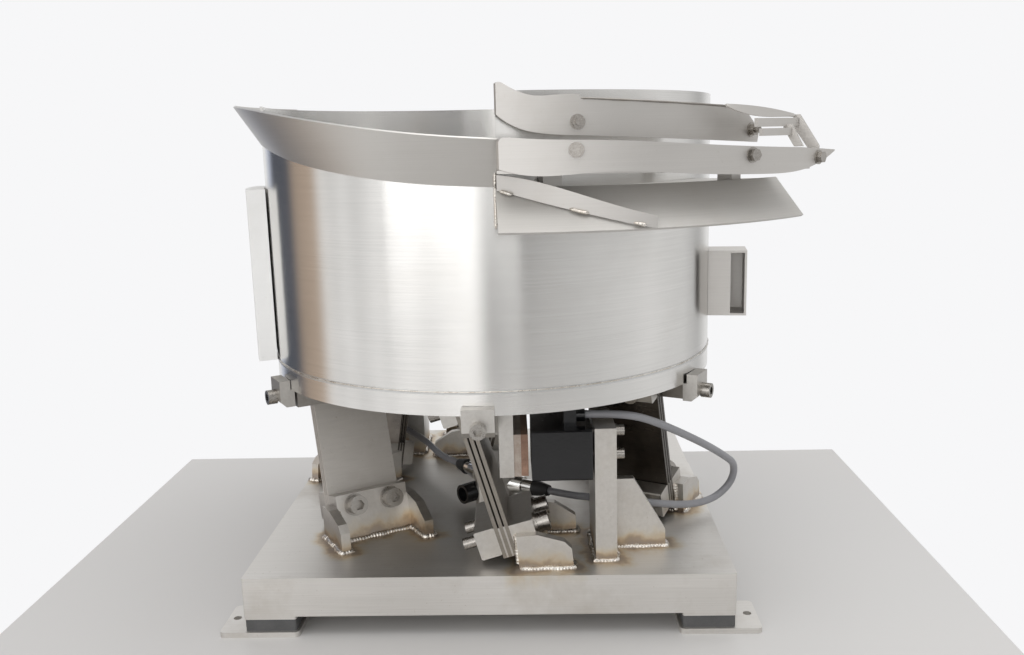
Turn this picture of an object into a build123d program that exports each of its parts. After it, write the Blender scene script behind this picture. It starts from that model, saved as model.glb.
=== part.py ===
from build123d import *
import math
import os

# Vibratory bowl feeder: a stainless bowl with a spiral track and outside guides,
# carried on six inclined leaf-spring packs over a heavy square base, and shaken
# by two electromagnets.  Units are mm, +Z is up, the origin lies on the bowl's
# axis, on the plane that the feet stand on.  Angles are measured from +X,
# counter-clockwise seen from above; the outfeed is at the front right.

# ---------------------------------------------------------------- dimensions
BOWL_RADIUS = 200.0
SHEET = 2.5                    # bowl wall thickness
GUIDE_SHEET = 2.0              # guides, rails and pans

FOOT_HEIGHT = 17.0
FLANGE_THICK = 4.5
PAD_TOP = 14.5
FOOT_CENTRE = 174.0            # foot pads, from the axis in X and Y
FOOT_PAD = 42.0
HOLE_X, HOLE_Y = 208.0, 172.5  # screw holes in the foot flanges
HOLE_RADIUS = 3.3

BASE_SIDE = 390.0
BASE_TOP = 49.6
COVER_SHEET = 2.0

SPRING_ANGLES = [212 + 60 * i for i in range(6)]
SPRING_RADIUS = 143.5          # middle of the leaves, from the axis
SPRING_WIDTH = 65.0
LEAF_TILT = 16.0               # from vertical; the top leans clockwise
LEAF_THICK = 3.0
LEAF_GAP = 1.4
LEAF_LOW, LEAF_HIGH = 57.0, 194.0
PACK_HALF = (3 * LEAF_THICK + 2 * LEAF_GAP) / 2
MID_HEIGHT, MID_SHIFT = 100.0, 0.0   # the pack's centre line passes here
BRACKET_THICK = 19.5
BRACKET_TOP = 83.0
GUSSET_THICK = 8.0
LOWER_SCREW_HEIGHT = 71.3
UPPER_SCREW_HEIGHT = 181.0
SCREW_PITCH = 33.0

FRAME_LOW, FRAME_TOP = 165.0, 198.0
RING_LOW, FLOOR_LOW, FLOOR_TOP = 181.3, 198.0, 201.0
RIM = 419.0
ARM_END = 195.5
ARM_FACE = 5.5                 # anticlockwise side face of each arm

MAGNET_ANGLES = (272, 92)
DRIVE_NEAR, DRIVE_FAR = 112.0, 172.0   # radial span of the magnets and posts
MAGNET_LOW, MAGNET_TOP = 118.0, 159.2
HANGER_LOW, HANGER_TOP = 122.0, 178.0
ARMATURE_TOP = 157.0

GUIDE_START = 274.0
TRACK_PITCH = 62.0
TRACK_INNER = 168.0
TRACK_END_HEIGHT = 352.0
TRACK_TURN = 271.0             # degrees in each of the three track lengths

os.makedirs("parts", exist_ok=True)


# ------------------------------------------------------------------- helpers
def outward(angle):
    return Vector(math.cos(math.radians(angle)), math.sin(math.radians(angle)), 0)


def sideways(angle):
    return outward(angle + 90)


def radial_plane(angle):
    """Plane through the axis: x is the radius, y is the height."""
    return Plane(origin=(0, 0, 0), x_dir=outward(angle), z_dir=-sideways(angle))


def station(angle, radius):
    """Plane square to a radius: x runs anticlockwise, y is the height."""
    return Plane(origin=outward(angle) * radius, x_dir=sideways(angle), z_dir=outward(angle))


def spoke_point(angle, radius, shift, height):
    return outward(angle) * radius + sideways(angle) * shift + Vector(0, 0, height)


def leaf_shift(height):
    """Anticlockwise shift of the pack's centre line at a height."""
    return MID_SHIFT - (height - MID_HEIGHT) * math.tan(math.radians(LEAF_TILT))


def leaf_plane(angle, radius, height, lift):
    """Plane parallel to the leaves, lift mm from the pack's middle, facing anticlockwise."""
    tilt = math.radians(LEAF_TILT)
    normal = sideways(angle) * math.cos(tilt) + Vector(0, 0, math.sin(tilt))
    middle = spoke_point(angle, radius, leaf_shift(height), height)
    return Plane(origin=middle + normal * lift, x_dir=-outward(angle), z_dir=normal)


def screw_rows(height, lift):
    """The two screw axes of each spring set, as planes facing anticlockwise."""
    return [
        leaf_plane(angle, SPRING_RADIUS + side * SCREW_PITCH / 2, height, lift)
        for angle in SPRING_ANGLES
        for side in (-1, 1)
    ]


def socket_screw(plane, head_radius, head_length, shank_radius, shank_length):
    """Socket-head screw added at a plane: head along +z, shank along -z."""
    low = (Align.CENTER, Align.CENTER, Align.MIN)
    high = (Align.CENTER, Align.CENTER, Align.MAX)
    with Locations(plane):
        Cylinder(head_radius, head_length, align=low)
        Cylinder(shank_radius, shank_length, align=high)
    socket_depth = head_length * 0.55
    with BuildSketch(plane.offset(head_length - socket_depth)) as socket:
        RegularPolygon(head_radius * 0.58, 6)
    extrude(socket.sketch, amount=socket_depth, mode=Mode.SUBTRACT)


def spiral(angle, start_radius, end_angle, end_radius):
    share = (angle - GUIDE_START) / (end_angle - GUIDE_START)
    return start_radius + (end_radius - start_radius) * share


def band(stations, sheet):
    """Loft a strip of sheet through (angle, low radius, low height, high radius, high height)."""
    sections = []
    for angle, low_r, low_z, high_r, high_z in stations:
        slope = math.atan2(high_r - low_r, high_z - low_z)
        out, up = sheet * math.cos(slope), -sheet * math.sin(slope)
        with BuildSketch(radial_plane(angle)) as section:
            Polygon(
                (low_r, low_z),
                (high_r, high_z),
                (high_r + out, high_z + up),
                (low_r + out, low_z + up),
                align=None,
            )
        sections.append(section.sketch)
    loft(sections)


def trim(angle, radius, outline):
    """Cut away what lies behind an outline given as (shift, height) about an angle."""
    with BuildSketch(station(angle, radius)) as waste:
        Polygon(*outline, align=None)
    extrude(waste.sketch, amount=120, mode=Mode.SUBTRACT)


def save(piece, label):
    piece.part.label = label
    export_step(piece.part, f"parts/{label}.step")


def four_corners():
    return [(sx, sy) for sx in (-1, 1) for sy in (-1, 1)]


# --------------------------------------------------------------- base and feet
with BuildPart() as base_plate:
    with BuildSketch(Plane.XY.offset(FOOT_HEIGHT)):
        Rectangle(BASE_SIDE - 2 * COVER_SHEET, BASE_SIDE - 2 * COVER_SHEET)
    extrude(amount=BASE_TOP - COVER_SHEET - FOOT_HEIGHT)
save(base_plate, "base_plate")

with BuildPart() as base_cover:
    with BuildSketch(Plane.XY.offset(FOOT_HEIGHT)):
        Rectangle(BASE_SIDE, BASE_SIDE)
    extrude(amount=BASE_TOP - FOOT_HEIGHT)
    fillet(base_cover.edges().filter_by(Axis.Z), 1.2)
    with BuildSketch(Plane.XY.offset(FOOT_HEIGHT)):
        Rectangle(BASE_SIDE - 2 * COVER_SHEET, BASE_SIDE - 2 * COVER_SHEET)
    extrude(amount=BASE_TOP - COVER_SHEET - FOOT_HEIGHT, mode=Mode.SUBTRACT)
save(base_cover, "base_cover")

with BuildPart() as foot_plates:
    with BuildSketch(Plane.XY.offset(PAD_TOP)):
        with GridLocations(2 * FOOT_CENTRE, 2 * FOOT_CENTRE, 2, 2):
            RectangleRounded(FOOT_PAD, FOOT_PAD, 2)
    extrude(amount=FOOT_HEIGHT - PAD_TOP)
save(foot_plates, "foot_plates")

with BuildPart() as foot_pads:
    with BuildSketch(Plane.XY.offset(FLANGE_THICK)):
        with GridLocations(2 * FOOT_CENTRE, 2 * FOOT_CENTRE, 2, 2):
            RectangleRounded(FOOT_PAD - 1, FOOT_PAD - 1, 2)
    extrude(amount=PAD_TOP - FLANGE_THICK)
save(foot_pads, "foot_pads")

with BuildPart() as foot_flanges:
    inner_x, outer_x, depth_y = 151.0, 215.5, 46.0
    with BuildSketch():
        for sx, sy in four_corners():
            with Locations((sx * (inner_x + outer_x) / 2, sy * FOOT_CENTRE)):
                RectangleRounded(outer_x - inner_x, depth_y, 4)
            with Locations((sx * HOLE_X, sy * HOLE_Y)):
                Circle(HOLE_RADIUS, mode=Mode.SUBTRACT)
    extrude(amount=FLANGE_THICK)
save(foot_flanges, "foot_flanges")

# ------------------------------------------------------------ spring brackets
# the plates either side of a bracket, as (shift, height)
OUTER_GUSSET = [(19, BASE_TOP), (17, 77), (34, 78), (55, 72), (61, 66), (62.5, BASE_TOP)]
INNER_GUSSET = [(19, BASE_TOP), (17, 78), (32, 79), (51, 76), (69, 64), (69, BASE_TOP)]

with BuildPart() as spring_brackets:
    lean = math.tan(math.radians(LEAF_TILT))
    face = PACK_HALF / math.cos(math.radians(LEAF_TILT))
    reach = BRACKET_THICK / math.cos(math.radians(LEAF_TILT))
    for angle in SPRING_ANGLES:
        low_shift, high_shift = leaf_shift(BASE_TOP) + face, leaf_shift(BRACKET_TOP) + face
        with BuildSketch(station(angle, SPRING_RADIUS - SPRING_WIDTH / 2)):
            Polygon(
                (low_shift + 3, BASE_TOP),
                (low_shift - lean * 3, BASE_TOP + 3),
                (high_shift, BRACKET_TOP),
                (high_shift + reach - lean * 5, BRACKET_TOP + 5),
                (low_shift + reach, BASE_TOP),
                align=None,
            )
        extrude(amount=SPRING_WIDTH)
        with BuildSketch(station(angle, SPRING_RADIUS + SPRING_WIDTH / 2)):
            Polygon(*OUTER_GUSSET, align=None)
        extrude(amount=GUSSET_THICK)
        with BuildSketch(station(angle, SPRING_RADIUS - SPRING_WIDTH / 2 - GUSSET_THICK)):
            Polygon(*INNER_GUSSET, align=None)
        extrude(amount=GUSSET_THICK)
    for plane in screw_rows(LOWER_SCREW_HEIGHT, PACK_HALF + BRACKET_THICK / 2):
        with BuildSketch(plane.offset(-BRACKET_THICK)):
            Circle(5.5)
        extrude(amount=2.5 * BRACKET_THICK, mode=Mode.SUBTRACT)
save(spring_brackets, "spring_brackets")

with BuildPart() as lower_clamp_bars:
    for angle in SPRING_ANGLES:
        with Locations(leaf_plane(angle, SPRING_RADIUS, LOWER_SCREW_HEIGHT + 0.5, -PACK_HALF)):
            Box(SPRING_WIDTH, 24, 17, align=(Align.CENTER, Align.CENTER, Align.MAX))
    chamfer(lower_clamp_bars.edges().filter_by(lambda e: abs(e.length - SPRING_WIDTH) < 0.01), 1.0)
    for plane in screw_rows(LOWER_SCREW_HEIGHT, 0):
        with BuildSketch(plane):
            Circle(5.1)
        extrude(amount=-40, mode=Mode.SUBTRACT)
save(lower_clamp_bars, "lower_clamp_bars")

with BuildPart() as lower_spring_screws:
    for plane in screw_rows(LOWER_SCREW_HEIGHT, PACK_HALF + BRACKET_THICK + 2):
        socket_screw(plane, 8.0, 10.0, 4.9, 62.5)
save(lower_spring_screws, "lower_spring_screws")

with BuildPart() as lower_washers:
    for plane in screw_rows(LOWER_SCREW_HEIGHT, PACK_HALF + BRACKET_THICK):
        with BuildSketch(plane):
            Circle(9.5)
            Circle(5.2, mode=Mode.SUBTRACT)
        extrude(amount=2)
save(lower_washers, "lower_washers")


# --------------------------------------------------------------- leaf springs
def leaf_levels():
    return [(LEAF_THICK + LEAF_GAP) * (i - 1) for i in range(3)]


def leaf_slab(angle, low, high, lift, thick):
    """Slab parallel to the leaves from one height to another."""
    length = (high - low) / math.cos(math.radians(LEAF_TILT))
    with BuildSketch(leaf_plane(angle, SPRING_RADIUS, (low + high) / 2, lift - thick / 2)) as slab:
        Rectangle(SPRING_WIDTH, length)
        for end, middle in ((low, LOWER_SCREW_HEIGHT), (high, UPPER_SCREW_HEIGHT)):
            if low < middle < high:
                drop = (middle - (low + high) / 2) / math.cos(math.radians(LEAF_TILT))
                with Locations((-SCREW_PITCH / 2, drop), (SCREW_PITCH / 2, drop)):
                    Circle(5.5, mode=Mode.SUBTRACT)
    extrude(slab.sketch, amount=thick)


for number, angle in enumerate(SPRING_ANGLES, start=1):
    with BuildPart() as leaf_pack:
        for lift in leaf_levels():
            leaf_slab(angle, LEAF_LOW, LEAF_HIGH, lift, LEAF_THICK)
    save(leaf_pack, f"leaf_pack_{number}")

with BuildPart() as lower_spacers:
    for angle in SPRING_ANGLES:
        for lift in (-1, 1):
            leaf_slab(angle, LEAF_LOW, 82, lift * (LEAF_THICK + LEAF_GAP) / 2, LEAF_GAP)
save(lower_spacers, "lower_spacers")

with BuildPart() as upper_spacers:
    for angle in SPRING_ANGLES:
        for lift in (-1, 1):
            leaf_slab(angle, 169, LEAF_HIGH, lift * (LEAF_THICK + LEAF_GAP) / 2, LEAF_GAP)
save(upper_spacers, "upper_spacers")

# ---------------------------------------------------------------- drive frame
with BuildPart() as drive_frame:
    lean = math.tan(math.radians(LEAF_TILT))
    face = PACK_HALF / math.cos(math.radians(LEAF_TILT))
    with BuildSketch(Plane.XY.offset(FRAME_LOW + 6)):
        Circle(84)
        Circle(14, mode=Mode.SUBTRACT)
    extrude(amount=FRAME_TOP - FRAME_LOW - 6)
    for angle in SPRING_ANGLES:
        low_shift, ring_shift = leaf_shift(FRAME_LOW) + face, leaf_shift(RING_LOW) + face
        top_shift = leaf_shift(FRAME_TOP) + face
        with BuildSketch(station(angle, 60)):
            Polygon(
                (low_shift, FRAME_LOW),
                (ARM_FACE, FRAME_LOW),
                (ARM_FACE, FRAME_TOP),
                (top_shift, FRAME_TOP),
                align=None,
            )
        extrude(amount=134)
        with BuildSketch(station(angle, 60)):
            Polygon(
                (low_shift, FRAME_LOW),
                (ARM_FACE, FRAME_LOW),
                (ARM_FACE, RING_LOW),
                (ring_shift, RING_LOW),
                align=None,
            )
        extrude(amount=ARM_END - 60)
        with BuildSketch(station(angle, ARM_END)):
            with Locations((-9, 174)):
                Circle(4.1)
        extrude(amount=-22, mode=Mode.SUBTRACT)
    for plane in screw_rows(UPPER_SCREW_HEIGHT, PACK_HALF):
        with BuildSketch(plane):
            Circle(5.5)
        extrude(amount=45, mode=Mode.SUBTRACT)
save(drive_frame, "drive_frame")

with BuildPart() as upper_clamp_bars:
    for angle in SPRING_ANGLES:
        with Locations(leaf_plane(angle, SPRING_RADIUS, UPPER_SCREW_HEIGHT, -PACK_HALF)):
            Box(SPRING_WIDTH, 24, 12, align=(Align.CENTER, Align.CENTER, Align.MAX))
    chamfer(upper_clamp_bars.edges().filter_by(lambda e: abs(e.length - SPRING_WIDTH) < 0.01), 1.0)
    for plane in screw_rows(UPPER_SCREW_HEIGHT, 0):
        with BuildSketch(plane):
            Circle(5.5)
        extrude(amount=-40, mode=Mode.SUBTRACT)
save(upper_clamp_bars, "upper_clamp_bars")

with BuildPart() as upper_spring_screws:
    for plane in screw_rows(UPPER_SCREW_HEIGHT, -PACK_HALF - 12):
        back = Plane(origin=plane.origin, x_dir=plane.x_dir, z_dir=-plane.z_dir)
        socket_screw(back, 8.0, 10.0, 4.9, 38.0)
save(upper_spring_screws, "upper_spring_screws")

# ------------------------------------------------------------------ toe clamps
TOE_SHIFT = -9.0
TOE_OUTER = 209.6
with BuildPart() as toe_clamps:
    for angle in SPRING_ANGLES:
        low, high = 166, 189
        inner, step = ARM_END + 1.5, BOWL_RADIUS + 0.4
        side_face = Plane(
            origin=spoke_point(angle, 0, TOE_SHIFT + 12.5, 0),
            x_dir=outward(angle),
            z_dir=-sideways(angle),
        )
        with BuildSketch(side_face):
            Polygon(
                (inner, low),
                (inner, RING_LOW - 0.3),
                (step, RING_LOW - 0.3),
                (step, high),
                (TOE_OUTER, high),
                (TOE_OUTER, low + 5),
                (TOE_OUTER - 5, low),
                align=None,
            )
        extrude(amount=25)
        with BuildSketch(station(angle, ARM_END)):
            with Locations((TOE_SHIFT, 174)):
                Circle(4.4)
        extrude(amount=20, mode=Mode.SUBTRACT)
save(toe_clamps, "toe_clamps")

with BuildPart() as toe_screws:
    for angle in SPRING_ANGLES:
        seat = spoke_point(angle, TOE_OUTER, TOE_SHIFT, 174)
        socket_screw(Plane(origin=seat, x_dir=sideways(angle), z_dir=outward(angle)), 6.2, 8.0, 3.9, 30.0)
save(toe_screws, "toe_screws")

# -------------------------------------------------------------- electromagnets
DRIVE_DEPTH = DRIVE_FAR - DRIVE_NEAR
HANGER = (5.5, 17.0)           # spans across the drive, anticlockwise of the spoke
ARMATURE = (17.0, 22.8)
POLE_PLATE = (22.8, 28.5)
MAGNET = (31.0, 79.5)
POST = (81.0, 98.2)
WASHER = 1.6


def drive_block(angle, span, low, high, near=DRIVE_NEAR, far=DRIVE_FAR):
    with BuildSketch(station(angle, near)) as profile:
        Polygon((span[0], low), (span[1], low), (span[1], high), (span[0], high), align=None)
    extrude(profile.sketch, amount=far - near)


MAGNET_SCREW_RADIUS = 156
MAGNET_SCREW_HEIGHTS = (134.5, 154)


def magnet_screw_points():
    return [(MAGNET_SCREW_RADIUS, height) for height in MAGNET_SCREW_HEIGHTS]


with BuildPart() as magnet_posts:
    for angle in MAGNET_ANGLES:
        drive_block(angle, POST, BASE_TOP, 160.3)
        middle = (DRIVE_NEAR + DRIVE_FAR) / 2
        with BuildSketch(station(angle, middle - GUSSET_THICK / 2)):
            Polygon((97, BASE_TOP), (141, BASE_TOP), (141, 64), (115, 109), (97, 109), align=None)
        extrude(amount=GUSSET_THICK)
        for radius, height in magnet_screw_points():
            with Locations(Plane(origin=spoke_point(angle, radius, 90, height), z_dir=sideways(angle))):
                Cylinder(2.8, 40, mode=Mode.SUBTRACT)
save(magnet_posts, "magnet_posts")

with BuildPart() as magnet_housings:
    for angle in MAGNET_ANGLES:
        drive_block(angle, MAGNET, MAGNET_LOW, MAGNET_TOP)
    long_side = MAGNET[1] - MAGNET[0]
    chamfer(magnet_housings.edges().filter_by(lambda e: abs(e.length - long_side) < 0.01), 1.2)
    for angle in MAGNET_ANGLES:
        with BuildSketch(station(angle, DRIVE_NEAR + 8)):
            Polygon((30, 124), (63, 124), (63, 153), (30, 153), align=None)
        extrude(amount=DRIVE_DEPTH - 16, mode=Mode.SUBTRACT)
        for radius, height in magnet_screw_points():
            with Locations(Plane(origin=spoke_point(angle, radius, 75, height), z_dir=sideways(angle))):
                Cylinder(2.8, 22, mode=Mode.SUBTRACT)
save(magnet_housings, "magnet_housings")

with BuildPart() as magnet_cores:
    for angle in MAGNET_ANGLES:
        drive_block(angle, (31.6, 63), 124, 153, DRIVE_NEAR + 8, DRIVE_FAR - 8)
save(magnet_cores, "magnet_cores")

with BuildPart() as magnet_screws:
    for angle in MAGNET_ANGLES:
        for radius, height in magnet_screw_points():
            seat = Plane(
                origin=spoke_point(angle, radius, POST[1] + WASHER, height),
                x_dir=outward(angle),
                z_dir=sideways(angle),
            )
            socket_screw(seat, 4.4, 6.0, 2.6, 34.0)
            with Locations(seat):
                Cylinder(5.2, WASHER, align=(Align.CENTER, Align.CENTER, Align.MAX))
save(magnet_screws, "magnet_screws")

with BuildPart() as armature_hangers:
    for angle in MAGNET_ANGLES:
        drive_block(angle, HANGER, HANGER_LOW, HANGER_TOP)
save(armature_hangers, "armature_hangers")

with BuildPart() as armature_stacks:
    for angle in MAGNET_ANGLES:
        drive_block(angle, ARMATURE, HANGER_LOW + 0.4, ARMATURE_TOP, DRIVE_NEAR + 2, DRIVE_FAR - 1)
save(armature_stacks, "armature_stacks")

with BuildPart() as pole_plates:
    for angle in MAGNET_ANGLES:
        drive_block(angle, POLE_PLATE, HANGER_LOW + 0.8, ARMATURE_TOP, DRIVE_NEAR + 2, DRIVE_FAR - 1)
save(pole_plates, "pole_plates")

# ------------------------------------------------------- cables and connectors
CABLE_DIAMETER = 6.5
GLAND_EXIT = (80.0, -150.0, 167.0)
FRONT_ROUTE = [
    (80, -150, 167),
    (103, -150, 167),
    (125, -146, 163),
    (147, -134, 151),
    (168, -118, 137),
    (189, -98, 121),
    (206, -80, 106),
    (217, -69, 95),
    (216, -62, 76),
    (202, -64, 62),
    (183, -75, 60),
    (161, -92, 66),
    (141, -105, 73),
    (121, -109, 77),
    (103, -101, 76),
    (86, -90, 73.5),
    (68, -79, 71.5),
    (50, -67.6, 71.5),
]
REAR_ROUTE = [
    (-80, 150, 167),
    (-102, 150, 167),
    (-122, 145, 161),
    (-137, 134, 147),
    (-144, 123, 126),
    (-139, 113, 106),
    (-125, 107, 91),
    (-106, 101, 82),
    (-89, 90, 76),
    (-76, 74, 72.5),
    (-67, 56, 71),
    (-59, 40, 70.5),
    (-49, 25, 70.8),
    (-38, 12, 71),
]


def cable_radii(route):
    """Largest tangent arc at each corner that its two straight runs allow."""
    points = [Vector(*p) for p in route]
    radii = []
    for before, corner, after in zip(points, points[1:], points[2:]):
        turn = (corner - before).get_angle(after - corner)
        run = min((corner - before).length, (after - corner).length)
        radii.append(0.45 * run / math.tan(math.radians(turn) / 2))
    return radii


def cable(route, label):
    radii = cable_radii(route)
    with BuildPart() as tube:
        with BuildLine() as path:
            FilletPolyline(*route, radius=radii)
        with BuildSketch(path.line ^ 0) as section:
            Circle(CABLE_DIAMETER / 2)
        sweep(section.sketch, path=path.line)
    length = sum(edge.length for edge in path.edges())
    expected = math.pi * CABLE_DIAMETER**2 / 4 * length
    print(label, "length", round(length, 1), "volume share", round(tube.part.volume / expected, 4))
    print("  radii", [round(r, 1) for r in radii])
    save(tube, label)


cable(FRONT_ROUTE, "front_cable")
cable(REAR_ROUTE, "rear_cable")

with BuildPart() as cable_glands:
    for turn in (0, 180):
        flip = 1 if turn == 0 else -1
        seat = Vector(68 * flip, -150 * flip, MAGNET_TOP)
        with Locations(Plane(origin=seat, x_dir=(flip, 0, 0), z_dir=(0, 0, 1))):
            Box(10, 16, 14, align=(Align.CENTER, Align.CENTER, Align.MIN))
        throat = Plane(origin=(73 * flip, -150 * flip, 167), x_dir=(0, flip, 0), z_dir=(flip, 0, 0))
        with Locations(throat):
            Cylinder(5.5, 7, align=(Align.CENTER, Align.CENTER, Align.MIN))
save(cable_glands, "cable_glands")

JUNCTION = (0.0, -24.0)
BOX_SIDE = 18.0

with BuildPart() as junction_box:
    with BuildSketch(Plane.XY.offset(BASE_TOP)):
        with Locations(JUNCTION):
            RectangleRounded(2 * BOX_SIDE, 60, 5)
    extrude(amount=32)
save(junction_box, "junction_box")

with BuildPart() as junction_lid:
    with BuildSketch(Plane.XY.offset(BASE_TOP + 32)):
        with Locations(JUNCTION):
            RectangleRounded(38, 62, 6)
    extrude(amount=4)
    fillet(junction_lid.faces().sort_by(Axis.Z)[-1].edges(), 1.5)
save(junction_lid, "junction_lid")

def connector_lengths(share_from, share_to, start_radius, end_radius):
    """The same turned length on both connectors, in line with each cable's last run."""
    for route in (FRONT_ROUTE, REAR_ROUTE):
        before, cable_end = Vector(*route[-2]), Vector(*route[-1])
        direction = (cable_end - before).normalized()
        whole = (abs(cable_end.X) - BOX_SIDE) / abs(direction.X)
        axis = Plane(origin=cable_end, z_dir=direction)
        with BuildSketch(axis.offset(whole * share_from)) as start:
            Circle(start_radius)
        with BuildSketch(axis.offset(whole * share_to)) as finish:
            Circle(end_radius)
        loft([start.sketch, finish.sketch])


def cut_junction():
    """Cut away what would stand inside the junction box."""
    with BuildSketch(Plane.XY.offset(BASE_TOP)) as inside:
        with Locations(JUNCTION):
            RectangleRounded(2 * BOX_SIDE, 60, 5)
    extrude(inside.sketch, amount=40, mode=Mode.SUBTRACT)


with BuildPart() as connector_boots:
    connector_lengths(0.0, 0.42, 5.0, 7.6)
save(connector_boots, "connector_boots")

with BuildPart() as connector_sleeves:
    connector_lengths(0.42, 0.72, 6.2, 6.2)
save(connector_sleeves, "connector_sleeves")

with BuildPart() as connector_nuts:
    connector_lengths(0.72, 1.12, 7.5, 9.5)
    cut_junction()
save(connector_nuts, "connector_nuts")

with BuildPart() as spare_socket:
    mouth = Plane(origin=(-18, -44, 64), z_dir=(-0.75, -0.66, 0))
    with BuildSketch(mouth):
        Circle(9)
    extrude(amount=16)
    with BuildSketch(mouth.offset(8)):
        Circle(6.5)
    extrude(amount=8, mode=Mode.SUBTRACT)
    cut_junction()
save(spare_socket, "spare_socket")

# ------------------------------------------------------------------------ bowl
with BuildPart() as bowl_ring:
    with BuildSketch(Plane.XY.offset(RING_LOW)):
        Circle(BOWL_RADIUS)
        Circle(BOWL_RADIUS - 4, mode=Mode.SUBTRACT)
    extrude(amount=FLOOR_LOW - RING_LOW)
save(bowl_ring, "bowl_ring")

with BuildPart() as bowl_floor:
    with BuildSketch(Plane.XY.offset(FLOOR_LOW)):
        Circle(BOWL_RADIUS + 0.4)
    extrude(amount=FLOOR_TOP - FLOOR_LOW)
save(bowl_floor, "bowl_floor")

with BuildPart() as bowl_cone:
    with BuildSketch(Plane.XZ) as cone_outline:
        Polygon(
            (0, FLOOR_TOP),
            (160, FLOOR_TOP),
            (160, FLOOR_TOP + 2),
            (34, FLOOR_TOP + 16),
            (18, FLOOR_TOP + 18.5),
            (0, FLOOR_TOP + 19),
            align=None,
        )
    revolve(cone_outline.sketch, axis=Axis.Z)
save(bowl_cone, "bowl_cone")

# flared lip: angle, height of its lower edge on the wall, height of its top edge
LIP_STATIONS = [
    (275, 352.5, 386.2),
    (264, 354.8, 389.6),
    (254, 357.8, 394.0),
    (244, 362.2, 399.4),
    (234, 367.6, 405.0),
    (224, 373.8, 410.4),
    (214, 380.6, 415.0),
    (204, 386.4, 418.2),
    (194, 390.0, 420.0),
    (174, 392.5, 421.0),
    (154, 393.5, 421.0),
]
LIP_FLARE = 20.0

with BuildPart() as bowl_lip:
    lip_sections = [
        (angle, BOWL_RADIUS + 0.1, low, BOWL_RADIUS + LIP_FLARE, high) for angle, low, high in LIP_STATIONS
    ]
    band(lip_sections, GUIDE_SHEET)
save(bowl_lip, "bowl_lip")

with BuildPart() as bowl_wall:
    with BuildSketch(Plane.XY.offset(FLOOR_TOP)):
        Circle(BOWL_RADIUS)
        Circle(BOWL_RADIUS - SHEET, mode=Mode.SUBTRACT)
    extrude(amount=RIM - FLOOR_TOP)
    sections = []
    for angle, low, high in LIP_STATIONS[:9]:
        with BuildSketch(radial_plane(angle)) as section:
            Polygon(
                (BOWL_RADIUS - 20, low),
                (BOWL_RADIUS + 20, low),
                (BOWL_RADIUS + 20, RIM + 20),
                (BOWL_RADIUS - 20, RIM + 20),
                align=None,
            )
        sections.append(section.sketch)
    loft(sections, mode=Mode.SUBTRACT)
save(bowl_wall, "bowl_wall")


def track_height(angle):
    """Top of the inner track; the angle keeps growing with each turn."""
    last = GUIDE_START + 4
    return TRACK_END_HEIGHT - (last - angle) / 360 * TRACK_PITCH


for number, label in enumerate(("lower_track", "middle_track", "upper_track")):
    finish = GUIDE_START + 4 - (2 - number) * TRACK_TURN
    with BuildPart() as track:
        sections = 10
        for step in range(sections):
            angle = finish - TRACK_TURN + TRACK_TURN * step / (sections - 1)
            top = track_height(angle)
            with BuildSketch(radial_plane(angle)):
                Polygon(
                    (TRACK_INNER, top - 3),
                    (TRACK_INNER, top - 1),
                    (BOWL_RADIUS - SHEET - 0.4, top),
                    (BOWL_RADIUS - SHEET - 0.4, top - 2),
                    align=None,
                )
        loft()
    save(track, label)


# -------------------------------------------------------------- outside guides
def guide_radius(angle):
    return spiral(angle, 206, 322, 246)


def rail_radius(angle):
    return spiral(angle, 226, 334, 304)


def pan_inner(angle):
    return spiral(angle, 202.5, 332, 268)


def pan_outer(angle):
    return spiral(angle, 240, 332, 290)


def guide_normal(angle, radius_of):
    """Outward normal of a spiral band at an angle."""
    step = 0.5
    before = outward(angle - step) * radius_of(angle - step)
    after = outward(angle + step) * radius_of(angle + step)
    along = (after - before).normalized()
    return Vector(along.Y, -along.X, 0)


def fixing_plane(angle, height, radius_of):
    """Plane on the outer face of a spiral band, facing out."""
    seat = outward(angle) * (radius_of(angle) + GUIDE_SHEET) + Vector(0, 0, height)
    return Plane(origin=seat, z_dir=guide_normal(angle, radius_of))


GUIDE_MIDDLE = 302.0           # the flat outlines of the guides are drawn square to this angle
GUIDE_NUTS = [(289.9, 395.8), (326.6, 387.5)]
RAIL_BOLTS = [(287.4, 376.8), (315.1, 369.6), (329.4, 365.8)]


def flat(points, radius_of):
    """Turn (angle, height) points on a spiral band into (shift, height) in its flat view."""
    return [
        (radius_of(angle) * math.sin(math.radians(angle - GUIDE_MIDDLE)), height)
        for angle, height in points
    ]


def shaped_band(radius_of, low, high, lower_curve, upper_line, upper_curve, fixings):
    """A spiral band of sheet, cut to a flat outline and drilled for its fixings."""
    angles = [GUIDE_START + 0.4 + step * 6.2 for step in range(11)]
    band([(a, radius_of(a), low, radius_of(a), high) for a in angles], GUIDE_SHEET)
    with BuildSketch(station(GUIDE_MIDDLE, 100)) as outline:
        with BuildLine():
            lower = Spline(*flat(lower_curve, radius_of))
            straight = Polyline(lower @ 1, *flat(upper_line, radius_of))
            upper = Spline(straight @ 1, *flat(upper_curve, radius_of))
            Line(upper @ 1, lower @ 0)
        make_face()
    extrude(outline.sketch, amount=220, mode=Mode.INTERSECT)
    for angle, height in fixings:
        with Locations(fixing_plane(angle, height, radius_of)):
            Cylinder(2.7, 12, mode=Mode.SUBTRACT)


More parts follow.
